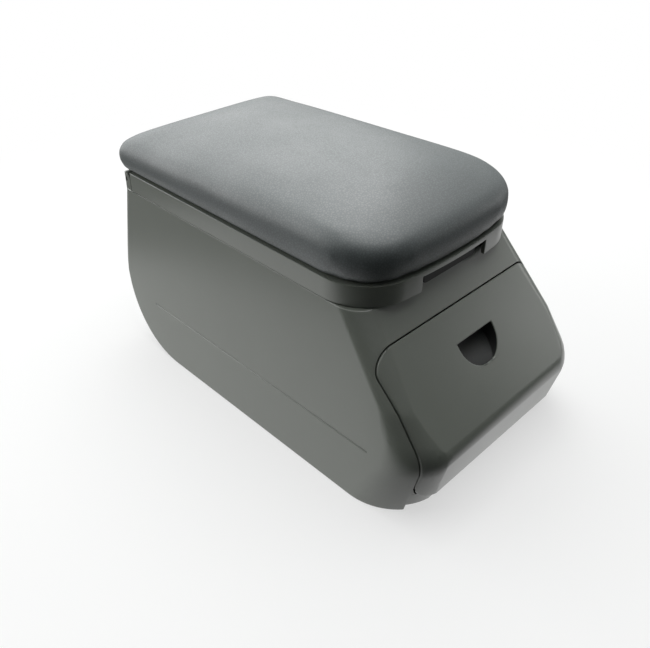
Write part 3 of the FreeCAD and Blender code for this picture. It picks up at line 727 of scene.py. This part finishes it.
class CONSOLE_OT_cushion(bpy.types.Operator):
    """Builds the padded armrest cushion in its leatherette cover"""
    bl_idname = "console.cushion"
    bl_label = "Armrest Cushion"

    def execute(self, context):
        size = settings().cushion
        form = cushion_form(size)
        cover = leatherette_material("Blue Grey Leatherette", size.colour)
        piece = piece_from_bmesh(form, "armrest_cushion", "lid", cover, ["lid_cushion"])
        remesh = piece.modifiers.new("Foam", "REMESH")
        remesh.mode = "VOXEL"
        remesh.voxel_size = size.voxel
        keep_result(piece)
        even_out(piece.data)
        swell(piece, size)
        even_out(piece.data)
        piece.data.materials.clear()
        piece.data.materials.append(cover)
        piece.data.shade_smooth()
        finer = piece.modifiers.new("Finer Cover", "SUBSURF")
        finer.levels = 1
        finer.render_levels = 1
        return {"FINISHED"}


# Mouldings

class CONSOLE_OT_shell(bpy.types.Operator):
    """Finishes the moulded body shell and its floor plate"""
    bl_idname = "console.shell"
    bl_label = "Body Shell"

    def execute(self, context):
        width = settings().plastic.edge_round
        softened_piece("body_shell", "moulded_shell", "console", width, shell_plastic())
        softened_piece(
            "base_plate", "floor_plate", "console", width * FINE_SHARE, inner_plastic_and_shade())
        return {"FINISHED"}


class CONSOLE_OT_lid_frame(bpy.types.Operator):
    """Finishes the lid frame, its lining panel and the board in the cushion"""
    bl_idname = "console.lid_frame"
    bl_label = "Lid Frame"

    def execute(self, context):
        width = settings().plastic.edge_round
        softened_piece("lid_frame", "lid_band", "lid", width, frame_plastic())
        softened_piece(
            "lid_inner_panel", "lid_lining", "lid", width * LINING_SHARE, inner_plastic_and_shade())
        recoat("lid_board", board_material("Raw Fibreboard"))
        return {"FINISHED"}


def in_painted_scoop_shade(face):
    """Whether a face of the flap lies in the finger scoop and looks outward, and so takes painted shade."""
    low, high = SCOOP_HEIGHTS
    shallow, deep = SCOOP_DEPTHS
    sunk = SLANT_OFFSET - SLANT_OUT.dot(face.center)
    placed = abs(face.center.x) < SCOOP_HALF_WIDTH and low < face.center.z < high
    return placed and shallow < sunk < deep and face.normal.dot(SLANT_OUT) > SCOOP_FACING


class CONSOLE_OT_flap(bpy.types.Operator):
    """Finishes the front flap, its finger scoop darkened with painted shade, and its tub"""
    bl_idname = "console.flap"
    bl_label = "Front Flap"

    def execute(self, context):
        width = settings().plastic.edge_round
        flap = softened_piece(
            "flap_panel", "front_flap", "flap", width * FLAP_SHARE, shell_plastic())
        # The scoop's faces take the dark inner material: painted shade in a hollow of the flap's own plastic
        flap.data.materials.append(inner_plastic_and_shade())
        for face in flap.data.polygons:
            if in_painted_scoop_shade(face):
                face.material_index = 1
        softened_piece(
            "flap_tub", "tilt_tub", "flap", width * LINING_SHARE, inner_plastic_and_shade())
        return {"FINISHED"}


class CONSOLE_OT_latch(bpy.types.Operator):
    """Finishes the latch lever, whose very dark plastic is partly painted shade of its notch"""
    bl_idname = "console.latch"
    bl_label = "Latch"

    def execute(self, context):
        width = settings().plastic.edge_round
        # The paddle's dark plastic is partly its own colour and partly painted shade of the notch
        softened_piece(
            "latch_lever", "latch_paddle", "latch", width * FINE_SHARE, inner_plastic_and_shade())
        return {"FINISHED"}


# Hardware

def new_tree(name, sizes):
    """A geometry node tree with named sizes and a material, and its given and made nodes."""
    tree = bpy.data.node_groups.new(name, "GeometryNodeTree")
    tree.interface.new_socket("Geometry", in_out="INPUT", socket_type="NodeSocketGeometry")
    for label in sizes:
        tree.interface.new_socket(label, in_out="INPUT", socket_type="NodeSocketFloat")
    tree.interface.new_socket("Material", in_out="INPUT", socket_type="NodeSocketMaterial")
    tree.interface.new_socket("Geometry", in_out="OUTPUT", socket_type="NodeSocketGeometry")
    return tree, tree.nodes.new("NodeGroupInput").outputs, tree.nodes.new("NodeGroupOutput")


def screw_tree():
    """Geometry nodes for one countersunk screw with a cross recess, set at each point."""
    tree, size, made = new_tree("Cross Screws", [
        "Head Radius", "Shank Radius", "Head Height", "Length", "Recess Width", "Recess Reach",
        "Recess Depth"])
    head = add_node(tree, "GeometryNodeMeshCone", {
        "Vertices": SCREW_SIDES, "Radius Top": size["Shank Radius"], "Radius Bottom": size["Head Radius"],
        "Depth": size["Head Height"]})
    shank_length = add_node(tree, "ShaderNodeMath", {
        0: size["Length"], 1: size["Head Height"]}, operation="SUBTRACT")
    shank = add_node(tree, "GeometryNodeMeshCylinder", {
        "Vertices": SCREW_SIDES, "Radius": size["Shank Radius"], "Depth": shank_length.outputs[0]})
    half_length = add_node(tree, "ShaderNodeMath", {
        0: shank_length.outputs[0], 1: 0.5, 2: size["Head Height"]}, operation="MULTIPLY_ADD")
    shank_place = add_node(tree, "ShaderNodeCombineXYZ", {"Z": half_length.outputs[0]})
    shank_moved = add_node(tree, "GeometryNodeTransform", {
        "Geometry": shank.outputs["Mesh"], "Translation": shank_place.outputs["Vector"]})
    body = add_node(tree, "GeometryNodeMeshBoolean", operation="UNION")
    tree.links.new(head.outputs["Mesh"], body.inputs["Mesh 2"])
    tree.links.new(shank_moved.outputs["Geometry"], body.inputs["Mesh 2"])
    double_depth = add_node(tree, "ShaderNodeMath", {0: size["Recess Depth"], 1: 2.0}, operation="MULTIPLY")
    slots = []
    for first, second in (("Recess Width", "Recess Reach"), ("Recess Reach", "Recess Width")):
        shape = add_node(tree, "ShaderNodeCombineXYZ", {
            "X": size[first], "Y": size[second], "Z": double_depth.outputs[0]})
        slots.append(add_node(tree, "GeometryNodeMeshCube", {"Size": shape.outputs["Vector"]}))
    recess = add_node(
        tree, "GeometryNodeMeshBoolean", {"Mesh 1": body.outputs["Mesh"]}, operation="DIFFERENCE")
    for slot in slots:
        tree.links.new(slot.outputs["Mesh"], recess.inputs["Mesh 2"])
    way = add_node(tree, "GeometryNodeInputNamedAttribute", {"Name": "way"}, data_type="FLOAT_VECTOR")
    turn = add_node(
        tree, "FunctionNodeAlignRotationToVector", {"Vector": way.outputs["Attribute"]}, axis="Z")
    placed = add_node(tree, "GeometryNodeInstanceOnPoints", {
        "Points": size["Geometry"], "Instance": recess.outputs["Mesh"],
        "Rotation": turn.outputs["Rotation"]})
    real = add_node(tree, "GeometryNodeRealizeInstances", {"Geometry": placed.outputs["Instances"]})
    coated = add_node(tree, "GeometryNodeSetMaterial", {
        "Geometry": real.outputs["Geometry"], "Material": size["Material"]})
    tree.links.new(coated.outputs["Geometry"], made.inputs["Geometry"])
    return tree


def spring_tree():
    """Geometry nodes for a coil spring along its own Z axis."""
    tree, size, made = new_tree("Coil Spring", ["Coil Radius", "Wire Radius", "Height", "Turns"])
    coil = add_node(tree, "GeometryNodeCurveSpiral", {
        "Resolution": COIL_STEPS, "Rotations": size["Turns"], "Start Radius": size["Coil Radius"],
        "End Radius": size["Coil Radius"], "Height": size["Height"]})
    wire = add_node(tree, "GeometryNodeCurvePrimitiveCircle", {
        "Resolution": WIRE_SIDES, "Radius": size["Wire Radius"]})
    tube = add_node(tree, "GeometryNodeCurveToMesh", {
        "Curve": coil.outputs["Curve"], "Profile Curve": wire.outputs["Curve"], "Fill Caps": True})
    real = add_node(tree, "GeometryNodeRealizeInstances", {"Geometry": tube.outputs["Mesh"]})
    coated = add_node(tree, "GeometryNodeSetMaterial", {
        "Geometry": real.outputs["Geometry"], "Material": size["Material"]})
    tree.links.new(coated.outputs["Geometry"], made.inputs["Geometry"])
    return tree


def run_tree(piece, tree, values):
    """Runs a tree on a piece and keeps the result as its plain mesh."""
    made = piece.modifiers.new(tree.name, "NODES")
    made.node_group = tree
    for item in tree.interface.items_tree:
        if item.in_out == "INPUT" and item.name in values:
            made[item.identifier] = values[item.name]
    keep_result(piece)


def screw_set(node, name, body):
    """Screws with cross recesses in the places of a CAD node's plain ones."""
    part = settings().hardware
    frames = [screw_frame(points) for points in solid_islands(node)]
    mesh = bpy.data.meshes.new(name)
    mesh.from_pydata([tuple(place) for place, *_ in frames], [], [])
    way = mesh.attributes.new("way", "FLOAT_VECTOR", "POINT")
    for index, (_, axis, *_) in enumerate(frames):
        way.data[index].vector = tuple(axis)
    piece = bpy.data.objects.new(name, mesh)
    bpy.context.scene.collection.objects.link(piece)
    _, _, head_radius, shank_radius, length = frames[0]
    tree = bpy.data.node_groups.get("Cross Screws") or screw_tree()
    run_tree(piece, tree, {
        "Head Radius": float(head_radius), "Shank Radius": float(shank_radius),
        "Head Height": float(head_radius - shank_radius), "Length": float(length),
        "Recess Width": part.recess_width, "Recess Reach": part.recess_reach,
        "Recess Depth": part.recess_depth, "Material": steel()})
    piece.data.set_sharp_from_angle(angle=SCREW_SHARP_ANGLE)
    return settle(piece, body, steel(), [node])


class CONSOLE_OT_screws(bpy.types.Operator):
    """Sets countersunk screws with cross recesses in their places"""
    bl_idname = "console.screws"
    bl_label = "Screws"

    def execute(self, context):
        screw_set("base_screws", "floor_plate_screws", "console")
        screw_set("keeper_screws", "strike_screws", "console")
        screw_set("lid_screws", "lid_lining_screws", "lid")
        screw_set("flap_screws", "tub_screws", "flap")
        return {"FINISHED"}


class CONSOLE_OT_hardware(bpy.types.Operator):
    """Finishes the pins, the strike, the rubber stops and the latch spring"""
    bl_idname = "console.hardware"
    bl_label = "Hardware"

    def execute(self, context):
        part = settings().hardware
        for node in ("lid_hinge_pin", "flap_pivot_pins", "latch_pin"):
            recoat(node, steel())
        softened_piece("latch_keeper", "latch_strike", "console", STRIKE_ROUND, steel())
        softened_piece("lid_bumpers", "lid_buttons", "console", RUBBER_ROUND, rubber())
        softened_piece("flap_bumpers", "tub_stops", "console", RUBBER_ROUND, rubber())
        low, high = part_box("latch_spring")
        spring = bpy.data.objects.new("return_spring", bpy.data.meshes.new("return_spring"))
        context.scene.collection.objects.link(spring)
        coil_radius = (high.z - low.z) / 2 - part.wire_radius
        height = high.x - low.x - 2 * part.wire_radius
        run_tree(spring, spring_tree(), {
            "Coil Radius": coil_radius, "Wire Radius": part.wire_radius, "Height": height,
            "Turns": height / (COIL_PITCH * part.wire_radius), "Material": steel()})
        middle = (low + high) / 2
        start = Vector((low.x + part.wire_radius, middle.y, middle.z))
        spring.data.transform(Matrix.Translation(start) @ Matrix.Rotation(math.pi / 2, 4, "Y"))
        spring.data.shade_smooth()
        settle(spring, "lid", steel(), ["latch_spring"])
        return {"FINISHED"}


# Stage

def area_light(name, place, size, power):
    """A square lamp that shines on the middle of the part."""
    lamp = bpy.data.lights.new(name, "AREA")
    lamp.shape = "SQUARE"
    lamp.size = size
    lamp.energy = power
    holder = bpy.data.objects.new(name, lamp)
    bpy.context.scene.collection.objects.link(holder)
    holder.location = place
    holder.rotation_euler = (LAMP_TARGET - Vector(place)).to_track_quat("-Z", "Y").to_euler()


def split_rays(tree, straight, mirrored, spread):
    """One shader for rays that see the stage straight or through glass, one in reflections, one else."""
    path = add_node(tree, "ShaderNodeLightPath")
    direct = add_node(tree, "ShaderNodeMath", {
        0: path.outputs["Is Camera Ray"], 1: path.outputs["Is Transmission Ray"]}, operation="MAXIMUM")
    others = add_node(tree, "ShaderNodeMixShader", {
        0: path.outputs["Is Glossy Ray"], 1: spread, 2: mirrored})
    final = add_node(tree, "ShaderNodeMixShader", {
        0: direct.outputs[0], 1: others.outputs["Shader"], 2: straight})
    return final.outputs["Shader"]


def floor_material():
    """Pale floor: white with the shadow to the camera, and in reflections a white sheet that ends."""
    material = bpy.data.materials.new("Pale Floor")
    material.use_nodes = True
    tree = material.node_tree
    tree.nodes.clear()
    place = add_node(tree, "ShaderNodeTexCoord")
    far = add_node(tree, "ShaderNodeVectorMath", {0: place.outputs["Object"]}, operation="LENGTH")
    near = eased_range(tree, far.outputs["Value"], start=0.25, end=0.60, first=0.40, last=0.0)
    ahead = add_node(tree, "ShaderNodeVectorMath", {
        0: place.outputs["Object"], 1: OUT_IN_FRONT}, operation="DOT_PRODUCT")
    nearer = add_node(tree, "ShaderNodeVectorMath", {
        0: place.outputs["Object"], 1: TOWARD_CAMERA}, operation="DOT_PRODUCT")
    outward = add_node(tree, "ShaderNodeMath", {
        0: ahead.outputs["Value"], 1: nearer.outputs["Value"]}, operation="MAXIMUM")
    front_end = eased_range(tree, outward.outputs[0], start=0.17, end=0.27, first=1.0, last=0.03)
    round_end = eased_range(tree, far.outputs["Value"], start=0.31, end=0.42, first=1.0, last=0.20)
    paper = add_node(tree, "ShaderNodeMath", {0: front_end, 1: round_end}, operation="MULTIPLY")
    pale = add_node(tree, "ShaderNodeVectorMath", {
        0: (0.30, 0.30, 0.30), "Scale": front_end}, operation="SCALE")
    matt = add_node(tree, "ShaderNodeBsdfDiffuse", {"Color": (0.86, 0.87, 0.86, 1.0)})
    bounce = add_node(tree, "ShaderNodeBsdfDiffuse", {"Color": pale.outputs["Vector"]})
    glow = add_node(tree, "ShaderNodeEmission", {"Color": WHITE, "Strength": 1.0})
    sheet = add_node(tree, "ShaderNodeEmission", {"Color": WHITE, "Strength": paper.outputs[0]})
    seen = add_node(tree, "ShaderNodeMixShader", {
        0: near, 1: glow.outputs["Emission"], 2: matt.outputs["BSDF"]})
    final = split_rays(tree, seen.outputs["Shader"], sheet.outputs["Emission"], bounce.outputs["BSDF"])
    output = add_node(tree, "ShaderNodeOutputMaterial")
    tree.links.new(final, output.inputs["Surface"])
    return material


def soft_world():
    """White to the camera; in reflections pale behind and above the part and dim in front; else even."""
    world = bpy.data.worlds.new("Soft Room")
    bpy.context.scene.world = world
    world.use_nodes = True
    tree = world.node_tree
    tree.nodes.clear()
    way = add_node(tree, "ShaderNodeTexCoord")
    ahead = add_node(tree, "ShaderNodeVectorMath", {
        0: way.outputs["Generated"], 1: TOWARD_CAMERA}, operation="DOT_PRODUCT")
    wall = eased_range(tree, ahead.outputs["Value"], start=-0.50, end=0.10, first=0.5, last=0.04)
    up = add_node(tree, "ShaderNodeSeparateXYZ", {"Vector": way.outputs["Generated"]})
    ceiling = eased_range(tree, up.outputs["Z"], start=0.25, end=0.80, first=0.0, last=0.40)
    level = add_node(tree, "ShaderNodeMath", {0: wall, 1: ceiling}, operation="MAXIMUM")
    room = add_node(tree, "ShaderNodeBackground", {"Color": (0.95, 0.98, 1.0, 1.0), "Strength": 0.08})
    mirror = add_node(tree, "ShaderNodeBackground", {"Color": WHITE, "Strength": level.outputs[0]})
    white = add_node(tree, "ShaderNodeBackground", {"Color": WHITE, "Strength": 1.0})
    final = split_rays(
        tree, white.outputs["Background"], mirror.outputs["Background"], room.outputs["Background"])
    output = add_node(tree, "ShaderNodeOutputWorld")
    tree.links.new(final, output.inputs["Surface"])


class CONSOLE_OT_stage(bpy.types.Operator):
    """Sets the floor, the lamps, the room and the camera"""
    bl_idname = "console.stage"
    bl_label = "Stage"

    def execute(self, context):
        scene = context.scene
        view = settings().stage
        form = bmesh.new()
        bmesh.ops.create_grid(form, x_segments=8, y_segments=8, size=FLOOR_HALF_SIZE)
        mesh = bpy.data.meshes.new("floor")
        form.to_mesh(mesh)
        form.free()
        mesh.transform(Matrix.Translation((0, 0, -FLOOR_DROP)))
        floor = bpy.data.objects.new("floor", mesh)
        scene.collection.objects.link(floor)
        floor.data.materials.append(floor_material())
        for lamp in LAMPS:
            area_light(*lamp)
        soft_world()
        camera = bpy.data.objects.new("camera", bpy.data.cameras.new("camera"))
        scene.collection.objects.link(camera)
        back = Vector((
            math.sin(view.azimuth) * math.cos(view.elevation),
            -math.cos(view.azimuth) * math.cos(view.elevation), math.sin(view.elevation)))
        camera.location = view.camera_place
        camera.rotation_euler = (-back).to_track_quat("-Z", "Y").to_euler()
        camera.data.sensor_width = SENSOR_WIDTH
        camera.data.lens = view.lens
        camera.data.shift_x = view.shift_x
        camera.data.shift_y = view.shift_y
        camera.data.clip_start = CLIP_START
        scene.camera = camera
        scene.view_settings.view_transform = "Standard"
        return {"FINISHED"}


# Panel and registration

class ConsoleSettings(bpy.types.PropertyGroup):
    cushion: bpy.props.PointerProperty(name="Cushion", description="Armrest cushion", type=CushionSettings)
    plastic: bpy.props.PointerProperty(name="Plastic", description="Moulded pieces", type=PlasticSettings)
    hardware: bpy.props.PointerProperty(name="Hardware", description="Metal pieces", type=HardwareSettings)
    stage: bpy.props.PointerProperty(name="Stage", description="Camera and room", type=StageSettings)


STEPS = [
    CONSOLE_OT_shell, CONSOLE_OT_lid_frame, CONSOLE_OT_flap, CONSOLE_OT_latch, CONSOLE_OT_screws,
    CONSOLE_OT_hardware, CONSOLE_OT_cushion, CONSOLE_OT_stage]


class CONSOLE_PT_dressing(bpy.types.Panel):
    """Lists the steps that dress the console"""
    bl_idname = "CONSOLE_PT_dressing"
    bl_label = "Center Console"
    bl_space_type = "VIEW_3D"
    bl_region_type = "UI"
    bl_category = "Console"

    def draw(self, context):
        for step in STEPS:
            self.layout.operator(step.bl_idname)


CLASSES = [CushionSettings, PlasticSettings, HardwareSettings, StageSettings, ConsoleSettings, *STEPS,
           CONSOLE_PT_dressing]


def register():
    for item in CLASSES:
        bpy.utils.register_class(item)
    bpy.types.Scene.console_settings = bpy.props.PointerProperty(type=ConsoleSettings)


def unregister():
    del bpy.types.Scene.console_settings
    for item in reversed(CLASSES):
        bpy.utils.unregister_class(item)


def main():
    register()
    bpy.ops.console.shell()
    bpy.ops.console.lid_frame()
    bpy.ops.console.flap()
    bpy.ops.console.latch()
    bpy.ops.console.screws()
    bpy.ops.console.hardware()
    bpy.ops.console.cushion()
    bpy.ops.console.stage()


if __name__ == "__main__":
    main()
